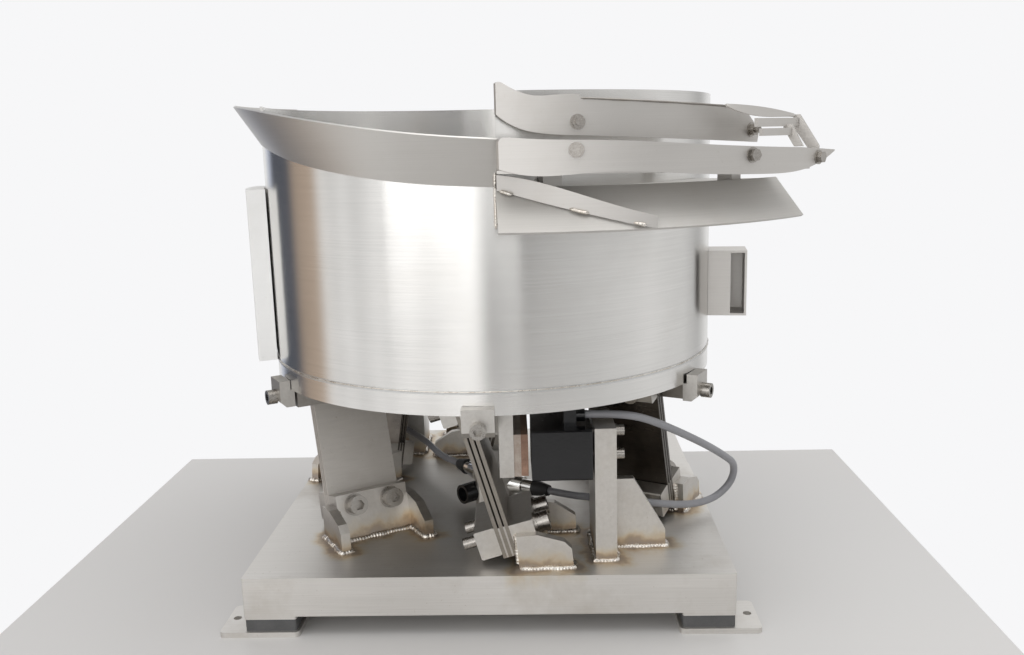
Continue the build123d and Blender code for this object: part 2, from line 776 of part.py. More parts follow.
with BuildPart() as inner_guide:
    shaped_band(
        guide_radius,
        372,
        430,
        [
            (274.8, 402.3), (277, 396.2), (280, 391.2), (284, 388.2),
            (290, 386.6), (302, 384), (315, 381), (329, 378),
        ],
        [(329.6, 387), (325.5, 401), (321, 404.6), (290.5, 411.7), (290.2, 414.3)],
        [(285.2, 414.5), (281.5, 414.8), (278.6, 418.4), (276.6, 422.6), (275.4, 424.4), (274.8, 423.4)],
        GUIDE_NUTS,
    )
save(inner_guide, "inner_guide")

with BuildPart() as outer_rail:
    shaped_band(
        rail_radius,
        345,
        395,
        [
            (274.8, 364.8), (279.5, 360.4), (288.5, 361), (306.5, 358),
            (317, 355.9), (325.5, 357.2), (330, 362), (334.6, 370),
        ],
        [(334.6, 370.8), (325, 373.8)],
        [(306.5, 378.4), (291, 383), (277, 386.1), (275.2, 385.6), (274.8, 383.4)],
        RAIL_BOLTS,
    )
save(outer_rail, "outer_rail")


def floor_height(angle):
    return 364 - (angle - GUIDE_START) / 60 * 5


with BuildPart() as track_floor:
    for angle in (274.8, 285, 296, 307, 318, 328):
        height = floor_height(angle)
        inner, outer = max(BOWL_RADIUS + 0.6, guide_radius(angle) - 12), rail_radius(angle) - 0.3
        with BuildSketch(radial_plane(angle)):
            Polygon((inner, height - 2), (inner, height), (outer, height), (outer, height - 2), align=None)
    loft()
save(track_floor, "track_floor")

with BuildPart() as return_pan:
    for angle in (274.6, 285, 296, 307, 318, 331):
        with BuildSketch(radial_plane(angle)):
            Polygon(
                (BOWL_RADIUS + 0.6, 348),
                (BOWL_RADIUS + 0.6, 350),
                (pan_inner(angle) + 0.2, 350),
                (pan_inner(angle) + 0.2, 348),
                align=None,
            )
    loft()
save(return_pan, "return_pan")

with BuildPart() as return_apron:
    angles = (274.6, 285, 296, 307, 318, 329.8)
    band([(a, pan_outer(a), 321, pan_inner(a) + 0.4, 350) for a in angles], GUIDE_SHEET)
save(return_apron, "return_apron")

# deflector strip: angle, share of the way down the apron, height of the strip
DEFLECTOR_STATIONS = [
    (274.8, 0.05, 11),
    (279, 0.20, 13),
    (284, 0.40, 13.5),
    (289, 0.60, 12),
    (294, 0.80, 10),
    (299, 0.98, 8.5),
]
with BuildPart() as deflector_strip:
    stations = []
    for angle, share, tall in DEFLECTOR_STATIONS:
        radius = pan_inner(angle) + share * (pan_outer(angle) - pan_inner(angle)) + 2.4
        height = 350 - 29 * share + 1.2
        stations.append((angle, radius, height, radius + 1, height + tall))
    band(stations, GUIDE_SHEET)
save(deflector_strip, "deflector_strip")

with BuildPart() as floor_supports:
    for angle, radius in ((285.5, 208), (321, 246)):
        seat = Plane(origin=spoke_point(angle, radius, 0, 350), x_dir=outward(angle), z_dir=(0, 0, 1))
        with Locations(seat):
            Box(12, 14, floor_height(angle + 2) - 2.2 - 350, align=(Align.CENTER, Align.CENTER, Align.MIN))
save(floor_supports, "floor_supports")

with BuildPart() as guide_nuts:
    for angle, height in GUIDE_NUTS:
        seat = fixing_plane(angle, height, guide_radius)
        with BuildSketch(seat):
            Circle(5.4)
        extrude(amount=0.9)
        with BuildSketch(seat.offset(0.9)):
            RegularPolygon(4.6, 6)
        extrude(amount=3.6)
        with BuildSketch(seat):
            Circle(2.5)
        extrude(amount=8)
        with BuildSketch(seat):
            Circle(2.5)
        extrude(amount=-7)
save(guide_nuts, "guide_nuts")

with BuildPart() as rail_bolts:
    for angle, height in RAIL_BOLTS:
        seat = fixing_plane(angle, height, rail_radius)
        with BuildSketch(seat):
            Circle(5.4)
        extrude(amount=0.9)
        with BuildSketch(seat.offset(0.9)):
            RegularPolygon(4.5, 6)
        extrude(amount=3.6)
        with BuildSketch(seat):
            Circle(2.5)
        extrude(amount=-7)
save(rail_bolts, "rail_bolts")


# The exit frame ends the outside track: a thin guard, two bars and a slanted end plate.
def exit_radius(angle):
    return spiral(angle, 232, 333, 283)


# angle, lower and upper height
GUARD_EDGES = [
    (313, 403.2, 405.0),
    (317, 398.4, 404.6),
    (321, 396.4, 403.2),
    (325.5, 396.2, 400.9),
    (330, 396.0, 398.0),
]
with BuildPart() as exit_guard:
    band([(a, exit_radius(a), low, exit_radius(a) - 1.5, high) for a, low, high in GUARD_EDGES], 1.2)
save(exit_guard, "exit_guard")

with BuildPart() as exit_bars:
    angles = (319, 323, 327, 330)
    band([(a, exit_radius(a), 389.2, exit_radius(a), 395.4) for a in angles], 3)
    angles = (319, 321.5, 324, 326.5)
    band([(a, exit_radius(a) + 4, 382.6, exit_radius(a) + 4, 388) for a in angles], 3)
    with BuildSketch(radial_plane(326.5)):
        Polygon((277.5, 388), (277.5, 390.5), (284, 390.5), (293, 374.2), (286, 374.2), align=None)
    extrude(amount=-2)
save(exit_bars, "exit_bars")

with BuildPart() as exit_plate:
    with BuildSketch(radial_plane(330.3)):
        Polygon(
            (279, 389), (279, 398), (284, 398), (299, 374.5), (299, 364), (293, 364), (291, 372), align=None
        )
    extrude(amount=-2)
save(exit_plate, "exit_plate")

# ------------------------------------------------------------- side fittings
with BuildPart() as side_cover:
    with BuildSketch(Plane.XY.offset(200)):
        Circle(217)
        Circle(BOWL_RADIUS + 1.5, mode=Mode.SUBTRACT)
        with BuildLine():
            Polyline((0, 0), (-300, 0), (-300, -120), (0, 0))
        make_face(mode=Mode.INTERSECT)
    extrude(amount=149)
save(side_cover, "side_cover")

# The folded bracket stands on the wall at the right, open towards the front.
BRACKET_ANGLE = 352.0
with BuildPart() as wall_bracket:
    low, high, reach, width, sheet = 226.0, 284.0, 33.0, 34.0, 2.0
    middle = (low + high) / 2
    with BuildSketch(station(BRACKET_ANGLE, BOWL_RADIUS - 3)):
        with Locations((0, middle)):
            Rectangle(width, high - low)
            Rectangle(width - 2 * sheet, high - low - 2 * sheet, mode=Mode.SUBTRACT)
    extrude(amount=reach + 3)
    with BuildSketch(station(BRACKET_ANGLE, BOWL_RADIUS + reach)):
        with Locations((0, middle)):
            Rectangle(width, high - low)
    extrude(amount=-sheet)
    # the near side stops short, so that the box is open at its outer end
    with BuildSketch(station(BRACKET_ANGLE, BOWL_RADIUS + reach - 14)):
        with Locations((-width / 2, middle)):
            Rectangle(4 * sheet, high - low - 2 * sheet)
    extrude(amount=14 - sheet, mode=Mode.SUBTRACT)
    with BuildSketch(Plane.XY.offset(200)):
        Circle(BOWL_RADIUS + 0.1)
    extrude(amount=120, mode=Mode.SUBTRACT)
save(wall_bracket, "wall_bracket")
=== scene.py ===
"""A vibratory bowl feeder: brushed stainless bowl on leaf springs over a square base, in metres."""

import math
import random

import bpy
from mathutils import Matrix, Vector


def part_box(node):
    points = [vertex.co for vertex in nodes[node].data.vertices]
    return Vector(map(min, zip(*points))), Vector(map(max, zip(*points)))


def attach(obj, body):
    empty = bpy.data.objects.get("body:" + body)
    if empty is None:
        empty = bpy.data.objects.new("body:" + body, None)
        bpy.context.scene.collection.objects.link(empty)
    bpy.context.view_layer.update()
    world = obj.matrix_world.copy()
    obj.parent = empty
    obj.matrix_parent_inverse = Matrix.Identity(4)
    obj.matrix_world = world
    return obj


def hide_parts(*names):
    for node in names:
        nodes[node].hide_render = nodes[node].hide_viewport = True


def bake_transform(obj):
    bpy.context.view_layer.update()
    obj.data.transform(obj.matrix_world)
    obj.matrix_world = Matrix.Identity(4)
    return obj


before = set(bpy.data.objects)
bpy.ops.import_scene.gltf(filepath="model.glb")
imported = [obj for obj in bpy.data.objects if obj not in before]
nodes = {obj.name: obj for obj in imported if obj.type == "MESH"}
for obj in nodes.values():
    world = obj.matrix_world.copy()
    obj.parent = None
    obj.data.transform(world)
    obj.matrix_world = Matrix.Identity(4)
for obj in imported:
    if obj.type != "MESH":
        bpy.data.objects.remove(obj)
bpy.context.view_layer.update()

MM = 0.001
UP = Vector((0, 0, 1))

# Places taken from the frame, and the few driving sizes that its boxes don't hold.
COVER_LOW, COVER_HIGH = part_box("base_cover")
BASE_TOP = COVER_HIGH.z
BOWL_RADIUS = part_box("bowl_wall")[1].x
FLOOR_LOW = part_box("bowl_floor")[0].z
SPRING_ANGLES = [212 + 60 * i for i in range(6)]
MAGNET_ANGLES = (272, 92)
GUSSET = 8 * MM
SPRING_IN, SPRING_OUT = 111 * MM, 176 * MM     # radial edges of the leaves
FLANGE_NEAR, FLANGE_FAR = 21.4 * MM, 41.7 * MM  # sideways faces of a spring bracket at its foot
OUTER_END, INNER_END = 62.5 * MM, 69 * MM      # far ends of its gussets
GUSSET_START = 19 * MM
POST_NEAR, POST_FAR = 81 * MM, 98.2 * MM
POST_IN, POST_OUT = 112 * MM, 172 * MM
POST_GUSSET_END = 141 * MM


def outward(angle):
    return Vector((math.cos(math.radians(angle)), math.sin(math.radians(angle)), 0))


def sideways(angle):
    return Vector((-math.sin(math.radians(angle)), math.cos(math.radians(angle)), 0))


def spoke(angle, shift, radius, height):
    """A point from its anticlockwise shift off a spoke, its distance along it and its height."""
    return outward(angle) * radius + sideways(angle) * shift + UP * height


# --------------------------------------------------------------------- shader groups
def new_group(name, inputs, outputs):
    """An empty node group with its input and output nodes; sockets are (name, type, default)."""
    group = bpy.data.node_groups.new(name, "ShaderNodeTree")
    for socket_name, kind, value in inputs:
        socket = group.interface.new_socket(socket_name, in_out="INPUT", socket_type=kind)
        socket.default_value = value
    for socket_name, kind in outputs:
        group.interface.new_socket(socket_name, in_out="OUTPUT", socket_type=kind)
    return group, group.nodes.new("NodeGroupInput"), group.nodes.new("NodeGroupOutput")


def add(tree, kind, links=(), **settings):
    """A node with its settings; links maps its inputs to sockets or plain values."""
    node = tree.nodes.new(kind)
    for key, value in settings.items():
        setattr(node, key, value)
    for key, value in dict(links).items():
        if isinstance(value, bpy.types.NodeSocket):
            tree.links.new(value, node.inputs[key])
        else:
            node.inputs[key].default_value = value
    return node


def calculate(tree, operation, first, second=0.0, third=None):
    links = {0: first, 1: second}
    if third is not None:
        links[2] = third
    return add(tree, "ShaderNodeMath", links, operation=operation).outputs[0]


def blend_colours(tree, share, first, second, mode="MIX"):
    node = add(tree, "ShaderNodeMix", data_type="RGBA", blend_type=mode)
    for index, value in ((0, share), (6, first), (7, second)):
        if isinstance(value, bpy.types.NodeSocket):
            tree.links.new(value, node.inputs[index])
        else:
            node.inputs[index].default_value = value
    return node.outputs[2]


def noise(tree, vector, scale, detail=3.0, roughness=0.55):
    values = {"Vector": vector, "Scale": scale, "Detail": detail, "Roughness": roughness}
    return add(tree, "ShaderNodeTexNoise", values).outputs["Fac"]


def remap(tree, value, low, high, out_low=0.0, out_high=1.0):
    links = {"Value": value, "From Min": low, "From Max": high, "To Min": out_low, "To Max": out_high}
    return add(tree, "ShaderNodeMapRange", links, clamp=True).outputs["Result"]


def brushed_grain():
    """Fine lines from a belt or wheel: they run long where Stretch is small."""
    group, start, finish = new_group(
        "brushed_grain",
        [
            ("Light", "NodeSocketColor", (0.7, 0.7, 0.7, 1)),
            ("Dark", "NodeSocketColor", (0.5, 0.5, 0.5, 1)),
            ("Stretch", "NodeSocketVector", (30, 30, 2500)),
            ("Low Roughness", "NodeSocketFloat", 0.25),
            ("High Roughness", "NodeSocketFloat", 0.4),
        ],
        [("Color", "NodeSocketColor"), ("Roughness", "NodeSocketFloat"), ("Height", "NodeSocketFloat")],
    )
    place = add(group, "ShaderNodeTexCoord").outputs["Object"]
    stretched = {0: place, 1: start.outputs["Stretch"]}
    scaled = add(group, "ShaderNodeVectorMath", stretched, operation="MULTIPLY")
    lines = noise(group, scaled.outputs[0], 1.0, 4.0, 0.7)
    patches = noise(group, place, 9.0, 3.0, 0.5)
    line_share = remap(group, lines, 0.3, 0.7, 0, 0.55)
    patch_share = remap(group, patches, 0.35, 0.7, 0, 0.45)
    shade = calculate(group, "ADD", line_share, patch_share)
    colour = blend_colours(group, shade, start.outputs["Dark"], start.outputs["Light"])
    span = calculate(group, "SUBTRACT", start.outputs["High Roughness"], start.outputs["Low Roughness"])
    rough = calculate(group, "MULTIPLY_ADD", shade, span, start.outputs["Low Roughness"])
    group.links.new(colour, finish.inputs["Color"])
    group.links.new(rough, finish.inputs["Roughness"])
    group.links.new(lines, finish.inputs["Height"])
    return group


def handling_marks():
    """Smears, specks and small scratches left by hands and tools."""
    group, start, finish = new_group(
        "handling_marks",
        [
            ("Color", "NodeSocketColor", (0.6, 0.6, 0.6, 1)),
            ("Roughness", "NodeSocketFloat", 0.3),
            ("Stain", "NodeSocketColor", (0.42, 0.37, 0.30, 1)),
            ("Amount", "NodeSocketFloat", 0.3),
            ("Scale", "NodeSocketFloat", 14.0),
        ],
        [("Color", "NodeSocketColor"), ("Roughness", "NodeSocketFloat")],
    )
    place = add(group, "ShaderNodeTexCoord").outputs["Object"]
    smear = remap(group, noise(group, place, start.outputs["Scale"], 5.0, 0.65), 0.52, 0.75)
    speck = remap(group, noise(group, place, 420.0, 2.0, 0.5), 0.68, 0.76)
    mask = calculate(group, "MULTIPLY", calculate(group, "MAXIMUM", smear, speck), start.outputs["Amount"])
    colour = blend_colours(group, mask, start.outputs["Color"], start.outputs["Stain"])
    rough = calculate(group, "MULTIPLY_ADD", mask, 0.3, start.outputs["Roughness"])
    group.links.new(colour, finish.inputs["Color"])
    group.links.new(rough, finish.inputs["Roughness"])
    return group


def foot_boxes():
    """Each welded foot on the cover: angle, its sideways span and its span along the spoke."""
    boxes = []
    for angle in SPRING_ANGLES:
        flange = (FLANGE_NEAR, FLANGE_FAR, SPRING_IN, SPRING_OUT)
        outer = (GUSSET_START, OUTER_END, SPRING_OUT, SPRING_OUT + GUSSET)
        inner = (GUSSET_START, INNER_END, SPRING_IN - GUSSET, SPRING_IN)
        boxes += [(angle,) + edges for edges in (flange, outer, inner)]
    for angle in MAGNET_ANGLES:
        middle = (POST_IN + POST_OUT) / 2
        boxes.append((angle, POST_NEAR, POST_FAR, POST_IN, POST_OUT))
        boxes.append((angle, POST_FAR, POST_GUSSET_END, middle - GUSSET / 2, middle + GUSSET / 2))
    return boxes


def heat_tint():
    """Dark brown fading to straw round the welded feet, by distance from the nearest foot."""
    group, start, finish = new_group(
        "heat_tint",
        [("Color", "NodeSocketColor", (0.6, 0.6, 0.6, 1)), ("Reach", "NodeSocketFloat", 0.016)],
        [("Color", "NodeSocketColor")],
    )
    place = add(group, "ShaderNodeTexCoord").outputs["Object"]
    height = add(group, "ShaderNodeSeparateXYZ", {0: place}).outputs[2]
    climb = calculate(group, "SUBTRACT", height, BASE_TOP)
    climb_square = calculate(group, "MULTIPLY", climb, climb)
    nearest = None
    for angle, low_shift, high_shift, low_radius, high_radius in foot_boxes():
        turned = add(
            group,
            "ShaderNodeVectorRotate",
            {"Vector": place, "Angle": -math.radians(angle)},
            rotation_type="Z_AXIS",
        )
        axes = add(group, "ShaderNodeSeparateXYZ", {0: turned.outputs[0]})
        gaps = []
        for output, low, high in ((0, low_radius, high_radius), (1, low_shift, high_shift)):
            offset = calculate(group, "SUBTRACT", axes.outputs[output], (low + high) / 2)
            gap = calculate(group, "SUBTRACT", calculate(group, "ABSOLUTE", offset), (high - low) / 2)
            gaps.append(calculate(group, "MAXIMUM", gap, 0.0))
        squares = calculate(group, "MULTIPLY_ADD", gaps[0], gaps[0], climb_square)
        distance = calculate(group, "SQRT", calculate(group, "MULTIPLY_ADD", gaps[1], gaps[1], squares))
        nearest = distance if nearest is None else calculate(group, "MINIMUM", nearest, distance)
    wobble = remap(group, noise(group, place, 55.0, 3.0), 0.3, 0.7, -0.005, 0.005)
    share = calculate(group, "DIVIDE", calculate(group, "ADD", nearest, wobble), start.outputs["Reach"])
    ramp = add(group, "ShaderNodeValToRGB", {0: share})
    stops = [
        (0.0, (0.30, 0.24, 0.20)),
        (0.22, (0.36, 0.26, 0.17)),
        (0.45, (0.60, 0.47, 0.30)),
        (0.75, (0.66, 0.60, 0.48)),
    ]
    while len(ramp.color_ramp.elements) < len(stops):
        ramp.color_ramp.elements.new(0.5)
    for element, (position, colour) in zip(ramp.color_ramp.elements, stops):
        element.position = position
        element.color = (*colour, 1)
    fade = remap(group, share, 0.35, 1.0, 0.75, 0.0)
    colour = blend_colours(group, fade, start.outputs["Color"], ramp.outputs[0])
    group.links.new(colour, finish.inputs["Color"])
    return group


GRAIN, MARKS, TINT = brushed_grain(), handling_marks(), heat_tint()


ACROSS = 0.25       # a quarter turn: reflections stretch across the grain


def new_material(name, **sockets):
    """A material whose Principled BSDF has these plain values; returns it, its tree and the shader."""
    material = bpy.data.materials.new(name)
    material.use_nodes = True
    tree = material.node_tree
    shader = tree.nodes["Principled BSDF"]
    for key, value in sockets.items():
        shader.inputs[key.replace("_", " ")].default_value = value
    return material, tree, shader


def place_group(tree, group, values):
    node = tree.nodes.new("ShaderNodeGroup")
    node.node_tree = group
    for key, value in values.items():
        if isinstance(value, bpy.types.NodeSocket):
            tree.links.new(value, node.inputs[key])
        else:
            node.inputs[key].default_value = value
    return node


def bump(tree, shader, height, strength, distance):
    node = add(tree, "ShaderNodeBump", {"Height": height, "Strength": strength, "Distance": distance})
    tree.links.new(node.outputs["Normal"], shader.inputs["Normal"])


def steel(
    name, light, dark, stretch, rough, marks=0.25, tinted=False, lines=0.12, anisotropic=0.0, metallic=1.0
):
    """Ground or brushed steel: grain, handling marks and, near welds, heat tint."""
    material, tree, shader = new_material(
        name, Metallic=metallic, Anisotropic=anisotropic, Anisotropic_Rotation=ACROSS
    )
    grain = place_group(
        tree,
        GRAIN,
        {
            "Light": (*light, 1),
            "Dark": (*dark, 1),
            "Stretch": stretch,
            "Low Roughness": rough[0],
            "High Roughness": rough[1],
        },
    )
    colour = grain.outputs["Color"]
    if tinted:
        colour = place_group(tree, TINT, {"Color": colour}).outputs["Color"]
    worn = place_group(
        tree, MARKS, {"Color": colour, "Roughness": grain.outputs["Roughness"], "Amount": marks}
    )
    tree.links.new(worn.outputs["Color"], shader.inputs["Base Color"])
    tree.links.new(worn.outputs["Roughness"], shader.inputs["Roughness"])
    bump(tree, shader, grain.outputs["Height"], lines, 0.0002)
    return material


def mottled(name, light, dark, scale, rough, metallic=0.0, relief=0.2, depth=0.0005, **sockets):
    """An even surface broken up by two sizes of noise, such as rubber, potting or a sheath."""
    material, tree, shader = new_material(name, Metallic=metallic, **sockets)
    place = add(tree, "ShaderNodeTexCoord").outputs["Object"]
    coarse, fine = noise(tree, place, scale, 4.0, 0.6), noise(tree, place, scale * 12, 2.0, 0.5)
    share = calculate(tree, "MULTIPLY_ADD", fine, 0.4, remap(tree, coarse, 0.3, 0.7, 0, 0.6))
    tree.links.new(blend_colours(tree, share, (*dark, 1), (*light, 1)), shader.inputs["Base Color"])
    tree.links.new(remap(tree, share, 0, 1, *rough), shader.inputs["Roughness"])
    bump(tree, shader, fine, relief, depth)
    return material


ROUND = (10, 10, 2600)      # grain that runs round the bowl
LONG_X = (12, 900, 900)     # grain along X
EVEN = (260, 260, 260)      # turned or ground in no one direction

LEAF_GRAIN = (40, 40, 500)  # grain across a leaf
FINE = (500, 500, 500)      # small turned parts

bowl_steel = steel(
    "bowl_steel",
    (0.80, 0.785, 0.765),
    (0.64, 0.63, 0.61),
    ROUND,
    rough=(0.20, 0.28),
    marks=0.08,
    lines=0.08,
    anisotropic=0.92,
)
lip_steel = steel(
    "lip_steel",
    (0.67, 0.655, 0.63),
    (0.58, 0.565, 0.54),
    ROUND,
    rough=(0.38, 0.46),
    marks=0.08,
    lines=0.06,
    anisotropic=0.4,
)
sheet_steel = steel(
    "sheet_steel", (0.64, 0.62, 0.595), (0.54, 0.52, 0.495), ROUND, (0.50, 0.58), 0.15, lines=0.08
)
apron_steel = steel(
    "apron_steel",
    (0.58, 0.565, 0.54),
    (0.48, 0.465, 0.44),
    ROUND,
    rough=(0.48, 0.58),
    marks=0.15,
    lines=0.06,
    metallic=0.5,
)
cover_steel = steel(
    "cover_steel", (0.95, 0.95, 0.94), (0.88, 0.88, 0.87), ROUND, (0.5, 0.6), 0.1, metallic=0.25
)
inside_steel = steel("inside_steel", (0.66, 0.66, 0.65), (0.54, 0.54, 0.53), ROUND, (0.30, 0.42), 0.2)
base_steel = steel(
    "base_steel", (0.78, 0.76, 0.73), (0.64, 0.62, 0.59), LONG_X, (0.38, 0.52), 0.35, tinted=True
)
bracket_steel = steel(
    "bracket_steel", (0.68, 0.655, 0.62), (0.54, 0.515, 0.48), EVEN, (0.32, 0.46), 0.35, tinted=True
)
# Painted shade: leaf_pack_2, seen edge-on, is the same steel as pack 1, given a darker copy for the shade
# it stands in.
half_shaded_leaf_steel = steel(
    "half_shaded_leaf_steel", (0.34, 0.31, 0.275), (0.22, 0.20, 0.175), LEAF_GRAIN, (0.46, 0.56), 0.3, lines=0.04
)
leaf_steel = steel(
    "leaf_steel", (0.74, 0.71, 0.67), (0.64, 0.61, 0.57), LEAF_GRAIN, (0.50, 0.60), 0.25, lines=0.04
)
# Painted shade: packs 3 to 6 are the same steel as pack 1, coloured near black for the shade and dark
# reflections under the bowl.
shaded_leaf_steel = steel(
    "shaded_leaf_steel", (0.13, 0.115, 0.10), (0.09, 0.08, 0.072), LEAF_GRAIN, (0.25, 0.35), 0.2, lines=0.02
)
ground_steel = steel("ground_steel", (0.60, 0.58, 0.55), (0.46, 0.44, 0.41), EVEN, (0.34, 0.46), 0.25)
screw_steel = steel(
    "screw_steel", (0.46, 0.44, 0.41), (0.26, 0.24, 0.22), FINE, (0.20, 0.34), 0.2, lines=0.05
)
bright_steel = steel(
    "bright_steel", (0.84, 0.83, 0.81), (0.70, 0.69, 0.67), EVEN, (0.10, 0.2), 0.1, lines=0.03
)
frame_steel = steel("frame_steel", (0.40, 0.38, 0.35), (0.27, 0.25, 0.23), EVEN, (0.38, 0.52), 0.5)
bead_metal = mottled(
    "bead_metal", (0.86, 0.84, 0.80), (0.50, 0.44, 0.37), 120, (0.18, 0.36), metallic=1.0, relief=0.4
)
lamination = mottled(
    "lamination", (0.52, 0.47, 0.42), (0.26, 0.19, 0.15), 110, (0.35, 0.55), metallic=0.9, relief=0.4
)
rusty_plate = mottled(
    "rusty_plate", (0.40, 0.25, 0.18), (0.14, 0.075, 0.05), 75, (0.5, 0.75), 0.35, 0.6, depth=0.0008
)
potting = mottled("potting", (0.010, 0.010, 0.011), (0.004, 0.004, 0.005), 35, (0.16, 0.30), relief=0.15)
boot_rubber = mottled("boot_rubber", (0.035, 0.034, 0.034), (0.016, 0.016, 0.016), 80, (0.45, 0.65))
pad_rubber = mottled("pad_rubber", (0.11, 0.11, 0.11), (0.06, 0.06, 0.06), 60, (0.7, 0.9), relief=0.5)
sheath = mottled(
    "sheath",
    (0.27, 0.27, 0.285),
    (0.21, 0.21, 0.225),
    40,
    (0.32, 0.45),
    relief=0.1,
    Coat_Weight=0.15,
)

FINISHES = {
    bowl_steel: ["bowl_wall", "bowl_ring"],
    lip_steel: ["bowl_lip"],
    inside_steel: ["bowl_floor", "bowl_cone", "lower_track", "middle_track", "upper_track"],
    sheet_steel: [
        "inner_guide", "outer_rail", "track_floor", "deflector_strip",
        "floor_supports", "wall_bracket", "exit_guard", "exit_bars", "exit_plate",
    ],
    apron_steel: ["return_apron", "return_pan"],
    base_steel: ["base_cover", "base_plate", "foot_flanges", "foot_plates"],
    bracket_steel: ["spring_brackets", "magnet_posts", "lower_clamp_bars"],
    frame_steel: ["drive_frame"],
    ground_steel: [
        "toe_clamps", "upper_clamp_bars", "armature_hangers", "junction_box", "junction_lid",
        "lower_spacers", "upper_spacers",
    ],
    screw_steel: [
        "lower_spring_screws", "upper_spring_screws", "toe_screws", "magnet_screws", "lower_washers",
        "guide_nuts", "rail_bolts",
    ],
    bright_steel: ["connector_sleeves", "connector_nuts"],
    lamination: ["armature_stacks", "magnet_cores"],
    rusty_plate: ["pole_plates"],
    potting: ["magnet_housings", "cable_glands", "spare_socket"],
    boot_rubber: ["connector_boots"],
    pad_rubber: ["foot_pads"],
    cover_steel: ["side_cover"],
    leaf_steel: ["leaf_pack_1"],
    # painted shade: the darker copy for the edge-on pack 2
    half_shaded_leaf_steel: ["leaf_pack_2"],
    # painted shade: the near-black copy for packs 3 to 6
    shaded_leaf_steel: ["leaf_pack_3", "leaf_pack_4", "leaf_pack_5", "leaf_pack_6"],
}
SMOOTH_ANGLE = math.radians(28)
for finish, names in FINISHES.items():
    for name in names:
        mesh = nodes[name].data
        mesh.materials.clear()
        mesh.materials.append(finish)
        mesh.shade_smooth()
        mesh.set_sharp_from_angle(angle=SMOOTH_ANGLE)


# ----------------------------------------------------------------------------- leaf springs
# Each pack is copied into a new object in place, and its imported part is hidden.
for number in range(1, 7):
    pack_name = f"leaf_pack_{number}"
    pack_mesh = nodes[pack_name].data.copy()
    pack_mesh.transform(nodes[pack_name].matrix_world)
    sprung_pack = bpy.data.objects.new(f"sprung_pack_{number}", pack_mesh)
    bpy.context.scene.collection.objects.link(sprung_pack)
    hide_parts(pack_name)
    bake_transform(sprung_pack)


# ----------------------------------------------------------------------------- cables
FRONT_ROUTE = [
    (80, -150, 167),
    (103, -150, 167),
    (125, -146, 163),
    (147, -134, 151),
    (168, -118, 137),
    (189, -98, 121),
    (206, -80, 106),
    (217, -69, 95),
    (216, -62, 76),
    (202, -64, 62),
    (183, -75, 60),
    (161, -92, 66),
    (141, -105, 73),
    (121, -109, 77),
    (103, -101, 76),
    (86, -90, 73.5),
    (68, -79, 71.5),
    (50, -67.6, 71.5),
]
REAR_ROUTE = [
    (-80, 150, 167),
    (-102, 150, 167),
    (-122, 145, 161),
    (-137, 134, 147),
    (-144, 123, 126),
    (-139, 113, 106),
    (-125, 107, 91),
    (-106, 101, 82),
    (-89, 90, 76),
    (-76, 74, 72.5),
    (-67, 56, 71),
    (-59, 40, 70.5),
    (-49, 25, 70.8),
    (-38, 12, 71),
]
CABLE_DIAMETER = 6.5 * MM


def cable(name, route):
    """A round cable through the route's points, from its magnet's gland to the junction box."""
    curve = bpy.data.curves.new(name, "CURVE")
    curve.dimensions = "3D"
    curve.bevel_depth = CABLE_DIAMETER / 2
    curve.bevel_resolution = 6
    curve.resolution_u = 10
    spline = curve.splines.new("NURBS")
    spline.points.add(len(route) - 1)
    for point, place in zip(spline.points, route):
        point.co = (*(Vector(place) * MM), 1)
    spline.order_u = 3
    spline.use_endpoint_u = True
    curve.materials.append(sheath)
    piece = bpy.data.objects.new(name, curve)
    bpy.context.scene.collection.objects.link(piece)
    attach(piece, "base")
    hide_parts(name)


cable("front_cable", FRONT_ROUTE)
cable("rear_cable", REAR_ROUTE)


# ------------------------------------------------------------------------ added pieces
def piece_from(name, vertices, faces, material, body, slot_name):
    """A smooth piece with sharp edges kept, riding on a body."""
    mesh = bpy.data.meshes.new(name)
    mesh.from_pydata(vertices, [], faces)
    mesh.validate()
    mesh.materials.append(material)
    mesh.shade_smooth()
    mesh.set_sharp_from_angle(angle=math.radians(50))
    piece = bpy.data.objects.new(name, mesh)
    bpy.context.scene.collection.objects.link(piece)
    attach(piece, body)


BEAD_SIDES = 10
RIPPLE = 2.6 * MM       # one pool of a weld bead
FLATNESS = 0.85         # a bead's height as a share of its width


def evenly(path, step):
    """Points along straight runs, an even step apart."""
    points = [path[0]]
    for start, finish in zip(path, path[1:]):
        count = max(1, round((finish - start).length / step))
        points += [start.lerp(finish, (i + 1) / count) for i in range(count)]
    return points


